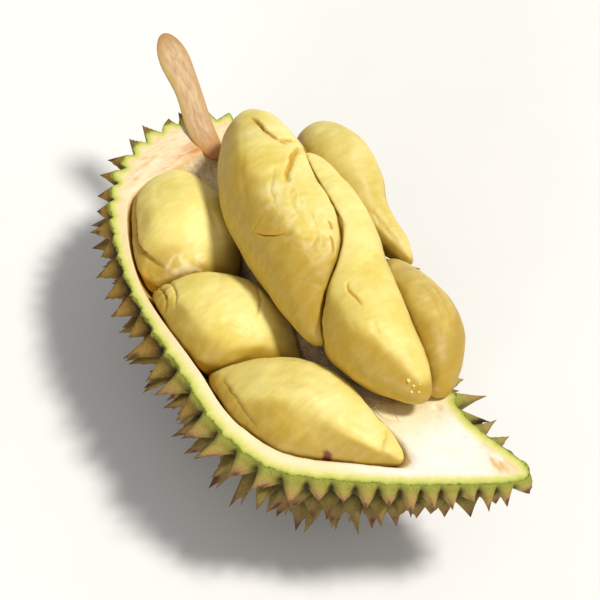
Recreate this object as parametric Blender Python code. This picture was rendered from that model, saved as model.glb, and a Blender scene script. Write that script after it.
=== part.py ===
"""Opened durian: one spiny husk with its split stem, its locules filled with pods of flesh.

Run with: blender --background --python part.py
Metres, +Z up. The fruit lies on its spines with the cut face up and its long axis along X: the stem at
-X, the pointed tip at +X. Shapes are laid out in millimetres in a fruit frame, whose x and y are zero
where the stem meets the cut face, and are moved to the part's own frame as each mesh is finished.
"""
import math

import bmesh
import bpy
import numpy as np

MM = 0.001

# ---- Driving dimensions, in millimetres in the fruit frame ----
FRAME_SHIFT = (-105.7, 26.5, 0.0)  # fruit frame to part frame, which is centred under the part
CUT_HEIGHT = 80.0  # the cut face above the table

# The body. Tables run over s, from -1 at the stem end to 1 at the tip.
BODY_MIDDLE_X = 126.0
BODY_HALF_LENGTH = 146.0
CENTRE_Y = ((-1.0, -14), (-0.5, -21), (0.0, -32), (0.3, -40), (0.52, -43), (0.7, -33), (1.0, 0))
HALF_WIDTH = ((-1.0, 88), (-0.5, 77), (0.0, 67), (0.3, 65), (0.52, 57), (0.7, 44), (1.0, 30))
DEPTH = ((-1.0, 72), (-0.5, 72), (0.0, 70), (0.5, 63), (1.0, 40))
FAR_SIDE_SAG = ((-1.0, 4), (-0.85, 9), (-0.5, 12), (0.0, 15), (0.4, 9), (0.65, 0), (1.0, 0))
CROWN_ROW_HEIGHT = 32.5  # a row of plain corners on the part of the body that is cut away
CROWN_ROW_STEP = 3

# Spines
SPINE_PITCH = ((-1.0, 11), (-0.7, 12.5), (0.55, 12.5), (0.85, 9.5), (1.0, 8))
SPINE_HEIGHT = ((-1.0, 12), (-0.75, 14), (-0.5, 14.5), (0.6, 13), (0.85, 10), (1.0, 8))
SPINE_HEIGHT_SPREAD = 0.2
RIM_ROW_DROP = ((-1.0, 2.5), (-0.8, 3.5), (-0.6, 6.0), (-0.3, 6.5), (1.0, 6.5))  # first row below the cut face
GUARD_ROW_RISE = 6.5  # plain corners above it
SECOND_ROW_DROP = 7.0  # the other spines stay this far below the first row
SPINE_CELL = 0.88  # area of husk that a spine takes, in squared pitches
RELAX_STEPS = 60
SEED = 7

# Hollow side
RIM_WIDTH = ((-1.0, 9), (-0.7, 7), (-0.45, 5.5), (-0.1, 7.5), (0.4, 9), (0.7, 12), (1.0, 14))  # over s
FLOOR_SHARE = 0.80  # share of the depth that the locules reach
WALL_CURVE = 0.7  # 0.5 gives the locules a round section, 1 a parabola
LOCULES_START = (3.0, 25.0)  # where along x they deepen from the solid stem end
LEFT_LOCULES_END = (216.0, 240.0)  # and rise to the solid pith of the tip
RIGHT_LOCULES_END = (184.0, 206.0)
SEPTUM_LINE = ((-1.0, -6), (-0.3, -22), (0.0, -28), (0.3, -32), (1.0, -24))  # its y over s
SEPTUM_LEFT = (5.0, 17.0)  # its full height ends, and its foot, this far left of its line
SEPTUM_RIGHT = (12.0, 25.0)  # and right of it
SEPTUM_DROP = ((-1.0, 9), (0.2, 9), (0.55, 0), (1.0, 0))  # its top below the cut face
# The block that trims the husk has rows round the hollow, and two more that reach out past the spines
KEEP_SEGMENTS, HOLLOW_ROWS, OUTER_ROWS = 72, 10, 2
KEEP_REACH = 1.5

# Flesh pods: points along the middle of each (z above the cut face), the radius there, and the height
# of the section as a share of its width
PODS = {
    "left_pod_upper": (((22, -39, -17), (42, -48, -16), (59, -57, -22)), (30, 35, 37), 1.0),
    "left_pod_middle": (((88, -74, -24), (107, -65, -18), (120, -56, -23)), (35, 34, 34), 1.0),
    "left_pod_lower": (((153, -75, -23), (188, -62, -19), (222, -48, -12)), (37, 37, 21), 1.0),
    "centre_pod_upper": (
        ((41, 7, 20), (76, -7, 20), (114, -15, 19), (142, -29, 14)),
        (29, 28, 27, 19),
        1.0,
    ),
    "centre_pod_lower": (((78, 18, 27), (117, 8, 23), (160, -15, 15), (195, -16, 13)), (16, 16, 24, 20), 1.0),
    "right_pod_upper": (((63, 43, 5), (97, 38, 3), (127, 38, -1)), (31, 13, 9), 1.0),
    "right_pod_lower": (((146, 22, 3), (176, 14, 4), (199, 3, 3)), (16, 19, 16), 1.0),
}
POD_GAP = 3.2  # between two pods
HUSK_GAP = 2.8  # between a pod and the husk, on every side
POD_SEGMENTS, POD_RINGS = 24, 17
POD_BLUNTNESS = 3.4  # 2 rounds the ends like an ellipsoid, more makes them blunter
AXIS_SAMPLES = 33
FLANK_SLOPE = 1.1  # how steeply the pods beside the rim rise from it
PRESS_STEPS, PRESS_HALVINGS = 20, 7

# Stem, split lengthwise with the fruit: points along its cut face, from inside the husk to its end
STEM_PATH = ((14, -2, -2), (-8, 1, 2), (-30, 8, 9), (-50, 12, 17), (-65, 15, 23))
STEM_HALF_WIDTH = (7.0, 7.6, 7.4, 8.8, 6.5)
STEM_DEPTH = (6.0, 7.0, 6.8, 7.6, 6.0)  # the round bark side below the cut face
STEM_CROWN = 0.22  # rise of the cut face, as a share of the half width
STEM_BLUNTNESS = 6.0
STEM_SEGMENTS, STEM_RINGS = 16, 20
SOCKET_GAP = 0.4


def smooth_table(table, s):
    """Cubic interpolation of (place, value) rows at s, a number or an array."""
    places = np.array([row[0] for row in table], float)
    values = np.array([row[1] for row in table], float)
    slopes = np.gradient(values, places)
    s = np.clip(s, places[0], places[-1])
    k = np.clip(np.searchsorted(places, s, side="right") - 1, 0, len(places) - 2)
    step = places[k + 1] - places[k]
    t = (s - places[k]) / step
    return (
        (2 * t**3 - 3 * t**2 + 1) * values[k]
        + (t**3 - 2 * t**2 + t) * step * slopes[k]
        + (3 * t**2 - 2 * t**3) * values[k + 1]
        + (t**3 - t**2) * step * slopes[k + 1]
    )


def smooth_path(points, share):
    """Points on a smooth curve through the given ones; share runs from -1 to 1."""
    places = np.linspace(-1, 1, len(points))
    columns = [smooth_table(list(zip(places, column)), share) for column in zip(*points)]
    return np.stack(columns, 1)


def smooth_step(low, high, value):
    t = np.clip((value - low) / (high - low), 0.0, 1.0)
    return t * t * (3 - 2 * t)


def unit_rows(vectors):
    return vectors / np.linalg.norm(vectors, axis=1, keepdims=True)


# ---- The fruit's body: a unit sphere stretched and bent ----


def body_from_sphere(unit):
    """Points of the smooth body, in the fruit frame, for points on (or in) the unit sphere."""
    s = unit[:, 0]
    x = BODY_MIDDLE_X + BODY_HALF_LENGTH * s
    y = smooth_table(CENTRE_Y, s) + smooth_table(HALF_WIDTH, s) * unit[:, 1]
    z = CUT_HEIGHT + smooth_table(DEPTH, s) * unit[:, 2]
    return np.stack([x, y, z], 1)


def sphere_from_body(points):
    """The inverse of body_from_sphere, for any points in space."""
    s = (points[:, 0] - BODY_MIDDLE_X) / BODY_HALF_LENGTH
    v = (points[:, 1] - smooth_table(CENTRE_Y, s)) / smooth_table(HALF_WIDTH, s)
    w = (points[:, 2] - CUT_HEIGHT) / smooth_table(DEPTH, s)
    return np.stack([s, v, w], 1)


def body_normals(points, step=0.01):
    """Outward unit normals of the body at points on it."""
    gradient = np.empty_like(points)
    for axis in range(3):
        offset = np.zeros(3)
        offset[axis] = step
        ahead = (sphere_from_body(points + offset) ** 2).sum(1)
        behind = (sphere_from_body(points - offset) ** 2).sum(1)
        gradient[:, axis] = ahead - behind
    return unit_rows(gradient)


def row_round_body(height, offset):
    """Points spaced by the pitch round the body, at a height above the cut face, a table over s."""
    turn = np.linspace(0, 2 * math.pi, 721)
    flat = np.stack([np.cos(turn), np.sin(turn), np.zeros_like(turn)], 1)
    z = smooth_table(height, flat[:, 0]) / smooth_table(DEPTH, flat[:, 0])
    ring = flat * np.sqrt(1 - z**2)[:, None]
    ring[:, 2] = z
    steps = np.linalg.norm(np.diff(body_from_sphere(ring), axis=0), axis=1)
    run = np.concatenate([[0], np.cumsum(steps / smooth_table(SPINE_PITCH, ring[1:, 0]))])
    count = round(run[-1])
    places = (np.arange(count) + offset) / count * run[-1]
    return np.stack([np.interp(places, run, ring[:, axis]) for axis in range(3)], 1)


def level_row(height, offset):
    return row_round_body(((-1.0, height), (1.0, height)), offset)


def spines_below_cut():
    """How many spines the body below the cut face takes, from a grid on its half sphere."""
    turn, drop = np.meshgrid(np.linspace(0, 2 * math.pi, 181), np.linspace(0, math.pi / 2, 46))
    grid = np.stack([np.cos(turn) * np.cos(drop), np.sin(turn) * np.cos(drop), -np.sin(drop)], 2)
    points = body_from_sphere(grid.reshape(-1, 3)).reshape(grid.shape)
    across = points[:-1, 1:] - points[:-1, :-1]
    down = points[1:, :-1] - points[:-1, :-1]
    area = np.linalg.norm(np.cross(across, down), axis=2)
    cell = SPINE_CELL * smooth_table(SPINE_PITCH, grid[1:, 1:, 0]) ** 2
    return round(float((area / cell).sum()))


def spine_places():
    """Spines on the unit sphere, spread evenly on the lower body by repulsion, and the guard row."""
    random = np.random.default_rng(SEED)
    top_row = row_round_body([(s, -drop) for s, drop in RIM_ROW_DROP], 0.0)
    guard_row = level_row(GUARD_ROW_RISE, 0.5)
    count = spines_below_cut() - len(top_row)
    loose = unit_rows(random.normal(size=(count, 3)))
    loose[:, 2] = -np.abs(loose[:, 2]) - 0.1
    loose = unit_rows(loose)
    fixed = body_from_sphere(np.concatenate([top_row, guard_row]))
    for _ in range(RELAX_STEPS):
        here = body_from_sphere(loose)
        others = np.concatenate([here, fixed])
        apart = here[:, None, :] - others[None, :, :]
        distance = np.linalg.norm(apart, axis=2) + 1e-9
        reach = 1.35 * smooth_table(SPINE_PITCH, loose[:, 0])
        push = np.clip(reach[:, None] / distance - 1, 0, 1.5)
        push[distance < 1e-6] = 0
        here = here + 0.175 * (apart * push[:, :, None]).sum(1)
        loose = unit_rows(sphere_from_body(here))
        drop = smooth_table(RIM_ROW_DROP, loose[:, 0]) + SECOND_ROW_DROP
        loose[:, 2] = np.minimum(loose[:, 2], -drop / smooth_table(DEPTH, loose[:, 0]))
        loose = unit_rows(loose)
    return np.round(np.concatenate([top_row, loose]), 4), np.round(guard_row, 4)


# ---- The cut face and the hollows below it ----


def toward_edge(flat):
    """The way toward each point along the body, and what share of the way to the edge a mm is."""
    toward = flat[:, :2] / np.maximum(np.hypot(flat[:, 0], flat[:, 1]), 1e-9)[:, None]
    half_width = smooth_table(HALF_WIDTH, toward[:, 0])
    return toward[:, 0], np.hypot(toward[:, 0] / BODY_HALF_LENGTH, toward[:, 1] / half_width)


def rim_share(flat):
    """Where the hollow starts toward each point, as a share of the way to the edge."""
    s, per_mm = toward_edge(flat)
    return 1 - smooth_table(RIM_WIDTH, s) * per_mm


def inside_rim(points):
    """How far points are inside the hollow in plan, in mm; negative over the rim."""
    flat = sphere_from_body(np.column_stack([points[:, :2], np.full(len(points), CUT_HEIGHT)]))
    s, per_mm = toward_edge(flat)
    return (1 - np.hypot(flat[:, 0], flat[:, 1])) / per_mm - smooth_table(RIM_WIDTH, s)


def cut_face_height(points):
    """Height of the husk's upper side at x, y: rim, locules, septum and solid pith."""
    x, y = points[:, 0], points[:, 1]
    flat = sphere_from_body(np.column_stack([x, y, np.full(len(points), CUT_HEIGHT)]))
    s = np.clip(flat[:, 0], -1, 1)
    reach = np.hypot(flat[:, 0], flat[:, 1]) / rim_share(flat)
    beside = y - smooth_table(SEPTUM_LINE, s)
    right = smooth_step(-6, 6, beside)
    left_end, right_end = smooth_step(*LEFT_LOCULES_END, x), smooth_step(*RIGHT_LOCULES_END, x)
    rim = CUT_HEIGHT - smooth_table(FAR_SIDE_SAG, s) * smooth_step(0.15, 0.6, flat[:, 1])
    hollow = smooth_step(*LOCULES_START, x) * (1 - left_end + (left_end - right_end) * right)
    drop = hollow * FLOOR_SHARE * smooth_table(DEPTH, s) * np.clip(1 - reach**2, 0, 1) ** WALL_CURVE
    wall = 1 - np.maximum(smooth_step(*SEPTUM_LEFT, -beside), smooth_step(*SEPTUM_RIGHT, beside))
    return rim - np.minimum(drop, drop * (1 - wall) + smooth_table(SEPTUM_DROP, s) * wall)


def in_husk(points):
    """Whether points lie in the husk, or within the gap to it."""
    taken = np.zeros(len(points), bool)
    for x, y in ((HUSK_GAP, 0), (-HUSK_GAP, 0), (0, HUSK_GAP), (0, -HUSK_GAP)):
        taken |= points[:, 2] - HUSK_GAP / 2 < cut_face_height(points + (x, y, 0))
    return taken


# ---- Flesh pods ----


class Pod:
    """A bent, tapered ellipsoid with blunt ends, and how far any point is from its skin."""

    def __init__(self, points, radii, flatness):
        self.points = [(x, y, z + CUT_HEIGHT) for x, y, z in points]
        self.radii = [(radius,) for radius in radii]
        self.flatness = flatness
        self.nestled = max(point[2] for point in points) < 0
        share = np.linspace(-1, 1, AXIS_SAMPLES)
        self.centres = self.middle_line(share)
        self.sizes = self.radius(share) * np.sqrt(1 - np.abs(share) ** POD_BLUNTNESS)

    def radius(self, share):
        return smooth_path(self.radii, share)[:, 0]

    def middle_line(self, share):
        """The line through the points, run on past both ends so that the ends are rounded."""
        first, second = np.array(self.points[:2])
        before_last, last = np.array(self.points[-2:])
        start = (first - second) * self.radii[0][0] / np.linalg.norm(first - second)
        end = (last - before_last) * self.radii[-1][0] / np.linalg.norm(last - before_last)
        run_on = np.clip(-share, 0, 1)[:, None] ** 3 * start + np.clip(share, 0, 1)[:, None] ** 3 * end
        return smooth_path(self.points, share) + run_on

    def distance(self, points):
        """Distance to the skin, negative inside."""
        apart = (points[:, None, :] - self.centres[None]) / (1, 1, self.flatness)
        return (np.linalg.norm(apart, axis=2) - self.sizes).min(1)

    def skin(self, unit):
        """Skin points for points on the unit sphere, and the inner points that they stand over."""
        share = unit[:, 0]
        ahead = self.middle_line(np.clip(share + 0.01, -1, 1))
        behind = self.middle_line(np.clip(share - 0.01, -1, 1))
        along = unit_rows(ahead - behind)
        side = unit_rows(np.cross(along, (0, 0, 1.0)))
        up = np.cross(side, along)
        blunt = np.sqrt((1 - np.abs(share) ** POD_BLUNTNESS + 1e-9) / (1 - share**2 + 1e-9))
        offset = side * unit[:, 1:2] + up * unit[:, 2:3] * self.flatness
        offset *= (self.radius(share) * blunt)[:, None]
        return self.middle_line(share) + offset, self.middle_line(share * 0.6)


def press(pod, neighbours, unit):
    """The pod's skin, pulled in where it meets its neighbours or the husk, with a gap to them."""
    skin, inner = pod.skin(unit)
    outward = skin - inner

    def blocked(share):
        at = inner + outward * share[:, None]
        own = pod.distance(at)
        taken = in_husk(at)
        for other in neighbours:
            taken |= other.distance(at) < own
        if pod.nestled:
            taken |= at[:, 2] > CUT_HEIGHT + FLANK_SLOPE * inside_rim(at)
        return taken

    free = np.zeros(len(skin))
    moving = np.ones(len(skin), bool)
    for step in range(1, PRESS_STEPS + 1):
        share = np.full(len(skin), step / PRESS_STEPS)
        moving &= ~blocked(share)
        free = np.where(moving, share, free)
    pressed = free < 1
    low, high = free, free + 1 / PRESS_STEPS
    for _ in range(PRESS_HALVINGS):
        middle = (low + high) / 2
        taken = blocked(middle)
        low, high = np.where(taken, low, middle), np.where(taken, middle, high)
    retreat = POD_GAP / 2 / np.linalg.norm(outward, axis=1)
    kept = np.where(pressed, np.maximum(low - retreat, 0.05), 1.0)
    return inner + outward * kept[:, None]


# ---- Blender objects ----


def clear_scene():
    for old in list(bpy.data.objects):
        bpy.data.objects.remove(old)


def new_collection(name):
    made = bpy.data.collections.new(name)
    bpy.context.scene.collection.children.link(made)
    return made


def material(name, colour, roughness):
    made = bpy.data.materials.new(name)
    made.use_nodes = True
    shader = made.node_tree.nodes["Principled BSDF"]
    shader.inputs["Base Color"].default_value = (*colour, 1)
    shader.inputs["Roughness"].default_value = roughness
    shader.inputs["Metallic"].default_value = 0
    return made


def vertex_array(bm):
    return np.array([v.co for v in bm.verts], float)


def move_vertices(bm, points):
    for vertex, point in zip(bm.verts, points):
        vertex.co = point


def finish_object(name, bm, collection, finish=None):
    """An object in metres in the part's frame, from a bmesh in millimetres in the fruit frame."""
    if bm.calc_volume(signed=True) < 0:
        bmesh.ops.reverse_faces(bm, faces=bm.faces)
    move_vertices(bm, (vertex_array(bm) + FRAME_SHIFT) * MM)
    mesh = bpy.data.meshes.new(name)
    bm.to_mesh(mesh)
    bm.free()
    obj = bpy.data.objects.new(name, mesh)
    collection.objects.link(obj)
    if finish:
        mesh.materials.append(finish)
    return obj


def make_cutter(name, bm, collection):
    obj = finish_object(name, bm, collection)
    obj.hide_render = True
    obj.display_type = "WIRE"
    return obj


def sphere_mesh(segments, rings):
    """A bmesh sphere with its poles on X, and its vertices as an array."""
    bm = bmesh.new()
    bmesh.ops.create_uvsphere(bm, u_segments=segments, v_segments=rings, radius=1)
    return bm, vertex_array(bm)[:, [2, 0, 1]]


def make_spiny_body(parts, finish):
    """The whole body: a hull through the spines' places, halved, its corners pulled out to tips."""
    spines, guard = spine_places()
    crown = level_row(CROWN_ROW_HEIGHT, 0.25)[::CROWN_ROW_STEP]
    corners = np.concatenate([spines, guard, crown, [(0, 0, 1.0)]])
    stretch = np.array([BODY_HALF_LENGTH, DEPTH[2][1], DEPTH[2][1]])
    bm = bmesh.new()
    for corner in corners:
        bm.verts.new(corner * stretch)
    bmesh.ops.convex_hull(bm, input=bm.verts)
    bmesh.ops.delete(bm, geom=[v for v in bm.verts if not v.link_faces], context="VERTS")
    bmesh.ops.subdivide_edges(bm, edges=bm.edges, cuts=1, use_grid_fill=True)
    bmesh.ops.triangulate(bm, faces=bm.faces)
    points = body_from_sphere(unit_rows(vertex_array(bm) / stretch))
    random = np.random.default_rng(SEED + 1)
    height = smooth_table(SPINE_HEIGHT, spines[:, 0])
    height = height * (1 + SPINE_HEIGHT_SPREAD * random.uniform(-1, 1, len(spines)))
    rise = np.zeros(len(points))
    for place, tall in zip(body_from_sphere(spines), height):
        nearest = np.linalg.norm(points - place, axis=1).argmin()
        rise[nearest] = tall
    move_vertices(bm, points + body_normals(points) * rise[:, None])
    return finish_object("husk", bm, parts, finish)


def make_keep_block(cutters):
    """What the husk keeps of the body: everything between the table plane and the cut face."""
    bm = bmesh.new()
    rows = HOLLOW_ROWS + OUTER_ROWS
    bmesh.ops.create_uvsphere(bm, u_segments=KEEP_SEGMENTS, v_segments=2 * rows, radius=1)
    bmesh.ops.delete(bm, geom=[v for v in bm.verts if v.co.z < -1e-6], context="VERTS")
    unit = vertex_array(bm)
    row = np.arccos(np.clip(unit[:, 2], -1, 1)) / (math.pi / 2) * rows
    inner = rim_share(unit)
    reach = inner * np.sin(np.minimum(row / HOLLOW_ROWS, 1) * math.pi / 2)
    reach += (KEEP_REACH - inner) * np.maximum(row - HOLLOW_ROWS, 0) / OUTER_ROWS
    disc = unit * (reach / np.maximum(np.hypot(unit[:, 0], unit[:, 1]), 1e-9))[:, None]
    disc[:, 2] = 0
    points = body_from_sphere(disc)
    points[:, 2] = cut_face_height(points)
    move_vertices(bm, points)
    edge = [e for e in bm.edges if e.is_boundary]
    wall = bmesh.ops.extrude_edge_only(bm, edges=edge)["geom"]
    for vertex in [part for part in wall if isinstance(part, bmesh.types.BMVert)]:
        vertex.co.z = 0
    bmesh.ops.holes_fill(bm, edges=[e for e in bm.edges if e.is_boundary])
    bmesh.ops.recalc_face_normals(bm, faces=bm.faces)
    return make_cutter("keep_block", bm, cutters)


def stem_mesh(extra):
    """The split stem: half round below, its cut face nearly flat; extra widens it all round."""
    bm, unit = sphere_mesh(STEM_SEGMENTS, STEM_RINGS)
    share = np.sin(unit[:, 0] * math.pi / 2)
    ahead = smooth_path(STEM_PATH, share + 0.01) - smooth_path(STEM_PATH, share - 0.01)
    along = unit_rows(ahead)
    side = unit_rows(np.cross(along, (0, 0, 1.0)))
    up = np.cross(side, along)
    around = unit_rows(np.column_stack([np.zeros(len(unit)), unit[:, 1:] + 1e-12]))
    blunt = (1 - np.abs(share) ** STEM_BLUNTNESS) ** 0.5
    wide = smooth_path([(value,) for value in STEM_HALF_WIDTH], share)[:, 0] + extra
    deep = smooth_path([(value,) for value in STEM_DEPTH], share)[:, 0] + extra
    high = STEM_CROWN * wide + extra
    lift = np.where(around[:, 2] > 0, high, deep) * around[:, 2]
    offset = side * (wide * blunt * around[:, 1])[:, None] + up * (lift * blunt)[:, None]
    line = smooth_path(STEM_PATH, share) + along * (extra * np.sign(share) * (blunt == 0))[:, None]
    move_vertices(bm, line + offset + (0, 0, CUT_HEIGHT))
    return bm


def make_stem(parts, finish):
    finish_object("stem", stem_mesh(0.0), parts, finish).data.shade_smooth()


def make_pods(parts, finish):
    pods = {name: Pod(*shape) for name, shape in PODS.items()}
    for name, pod in pods.items():
        bm, unit = sphere_mesh(POD_SEGMENTS, POD_RINGS)
        neighbours = [other for key, other in pods.items() if key != name]
        move_vertices(bm, press(pod, neighbours, unit))
        finish_object(name, bm, parts, finish).data.shade_smooth()


def add_boolean(obj, operation, cutter, solver="EXACT"):
    boolean = obj.modifiers.new(operation.lower() + "_" + cutter.name, "BOOLEAN")
    boolean.operation = operation
    boolean.object = cutter
    boolean.solver = solver


def main():
    clear_scene()
    parts = new_collection("durian")
    cutters = new_collection("cutters")
    rind = material("rind", (0.16, 0.13, 0.035), 0.7)
    flesh = material("flesh", (0.78, 0.62, 0.19), 0.45)
    bark = material("bark", (0.55, 0.38, 0.2), 0.7)
    husk = make_spiny_body(parts, rind)
    add_boolean(husk, "INTERSECT", make_keep_block(cutters), "MANIFOLD")  # EXACT keeps nothing here
    add_boolean(husk, "DIFFERENCE", make_cutter("stem_socket", stem_mesh(SOCKET_GAP), cutters))
    make_stem(parts, bark)
    make_pods(parts, flesh)


main()
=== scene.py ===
"""Opened durian: the looks of its husk, its split stem and its seven pods of flesh.

Shapes are laid out in millimetres in the fruit's own frame, whose x and y are zero where the stem meets
the cut face, and are moved to the model's frame as each mesh is finished.
"""
import math

import bmesh
import bpy
import numpy as np
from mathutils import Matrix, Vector, bvhtree, kdtree, noise


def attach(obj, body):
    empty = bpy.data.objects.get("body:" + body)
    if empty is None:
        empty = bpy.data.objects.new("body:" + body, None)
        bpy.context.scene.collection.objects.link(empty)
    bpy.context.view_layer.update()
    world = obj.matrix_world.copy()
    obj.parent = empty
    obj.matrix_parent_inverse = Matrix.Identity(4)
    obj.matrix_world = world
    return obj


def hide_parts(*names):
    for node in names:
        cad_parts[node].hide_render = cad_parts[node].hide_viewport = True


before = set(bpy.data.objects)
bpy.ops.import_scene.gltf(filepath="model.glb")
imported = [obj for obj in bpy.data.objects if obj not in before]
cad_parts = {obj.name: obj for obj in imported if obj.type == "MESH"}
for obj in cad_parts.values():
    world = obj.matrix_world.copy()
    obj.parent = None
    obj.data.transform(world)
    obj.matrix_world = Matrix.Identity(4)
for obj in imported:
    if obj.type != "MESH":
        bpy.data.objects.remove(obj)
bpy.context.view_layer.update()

MM = 0.001

# ---- The fruit's own dimensions, in millimetres ----
FRAME_SHIFT = (-105.7, 26.5, 0.0)
CUT_HEIGHT = 80.0
BODY_MIDDLE_X = 126.0
BODY_HALF_LENGTH = 146.0
CENTRE_Y = ((-1.0, -14), (-0.5, -21), (0.0, -32), (0.3, -40), (0.52, -43), (0.7, -33), (1.0, 0))
HALF_WIDTH = ((-1.0, 88), (-0.5, 77), (0.0, 67), (0.3, 65), (0.52, 57), (0.7, 44), (1.0, 30))
DEPTH = ((-1.0, 72), (-0.5, 72), (0.0, 70), (0.5, 63), (1.0, 40))
FAR_SIDE_SAG = ((-1.0, 4), (-0.85, 9), (-0.5, 12), (0.0, 15), (0.4, 9), (0.65, 0), (1.0, 0))
CROWN_ROW_HEIGHT = 32.5
CROWN_ROW_STEP = 3

# Spines
SPINE_PITCH = ((-1.0, 11), (-0.7, 12.5), (0.55, 12.5), (0.85, 9.5), (1.0, 8))
SPINE_HEIGHT = ((-1.0, 12), (-0.75, 14), (-0.5, 14.5), (0.6, 13), (0.85, 10), (1.0, 8))
SPINE_HEIGHT_SPREAD = 0.2
RIM_ROW_DROP = ((-1.0, 2.5), (-0.8, 3.5), (-0.6, 6.0), (-0.3, 6.5), (1.0, 6.5))
GUARD_ROW_RISE = 6.5
SPINE_CELL = 0.88
SECOND_ROW_DROP = 7.0  # the other spines stay this far below the first row
RELAX_STEPS = 60
SEED = 7
SPINE_CUTS = 9  # how finely the husk's skin is divided between two spines
SPINE_CURVE = 1.35  # 1 gives straight sides, more makes them hollow
SPINE_NEIGHBOURS = 14
SPINE_LEAN = 0.22
TIP_CLEARANCE = 0.3  # spines under the fruit end this far above the table

# Hollow side
RIM_WIDTH = ((-1.0, 9), (-0.7, 7), (-0.45, 5.5), (-0.1, 7.5), (0.4, 9), (0.7, 12), (1.0, 14))
FLOOR_SHARE = 0.80
WALL_CURVE = 0.7
LOCULES_START = (3.0, 25.0)
LEFT_LOCULES_END, RIGHT_LOCULES_END = (216.0, 240.0), (184.0, 206.0)
SEPTUM_LINE = ((-1.0, -6), (-0.3, -22), (0.0, -28), (0.3, -32), (1.0, -24))
SEPTUM_LEFT, SEPTUM_RIGHT = (5.0, 17.0), (12.0, 25.0)
SEPTUM_DROP = ((-1.0, 9), (0.2, 9), (0.55, 0), (1.0, 0))
KEEP_SEGMENTS = 400
HOLLOW_ROWS, RIM_ROWS, SPINE_ROWS = 46, 9, 6
KEEP_REACH = 1.5

# Flesh pods: points along the middle of each, above the cut face, with the radius there
PODS = {
    "left_pod_upper": (((22, -39, -17), (42, -48, -16), (59, -57, -22)), (30, 35, 37)),
    "left_pod_middle": (((88, -74, -24), (107, -65, -18), (120, -56, -23)), (35, 34, 34)),
    "left_pod_lower": (((153, -75, -23), (188, -62, -19), (222, -48, -12)), (37, 37, 21)),
    "centre_pod_upper": (((41, 7, 20), (76, -7, 20), (114, -15, 19), (142, -29, 14)), (29, 28, 27, 19)),
    "centre_pod_lower": (((78, 18, 27), (117, 8, 23), (160, -15, 15), (195, -16, 13)), (16, 16, 24, 20)),
    "right_pod_upper": (((63, 43, 5), (97, 38, 3), (127, 38, -1)), (31, 13, 9)),
    "right_pod_lower": (((146, 22, 3), (176, 14, 4), (199, 3, 3)), (16, 19, 16)),
}
POD_GAP = 0.3
HUSK_GAP = 0.6
POD_MESH = {"centre_pod_upper": (80, 60), "centre_pod_lower": (80, 60)}
PLAIN_POD_MESH = (64, 44)
POD_BLUNTNESS = 3.4
POD_LEVELS = 2
# How tanned each pod is, and the facing toward the light at and below which its painted shade is full, and
# above which it has none
POD_TONE = {
    "left_pod_upper": (0.0, 0.1, 0.85),
    "left_pod_middle": (0.05, 0.1, 0.85),
    "left_pod_lower": (0.15, 0.15, 0.95),
    "centre_pod_upper": (0.12, 0.5, 0.96),
    "centre_pod_lower": (0.05, 0.3, 0.98),
    "right_pod_upper": (0.4, 0.2, 0.9),
    "right_pod_lower": (0.85, 0.6, 1.05),
}
PAINTED_LIGHT_SIDE = (-0.25, 0.4, 0.88)  # the way toward the light for the pods' painted shade; skin facing it is left palest
AXIS_SAMPLES = 33
FLANK_SLOPE = 1.1  # how steeply the pods beside the rim rise from it
PRESS_REACH, PRESS_STEPS, PRESS_HALVINGS = 1.4, 24, 5
PRESS_ROUNDING = 1.0
UNPRESSED = 9.0  # the reach of skin that nothing stops
LID_SMOOTHINGS = 3  # how often the pods beside the rim are smoothed where they leave it
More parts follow.
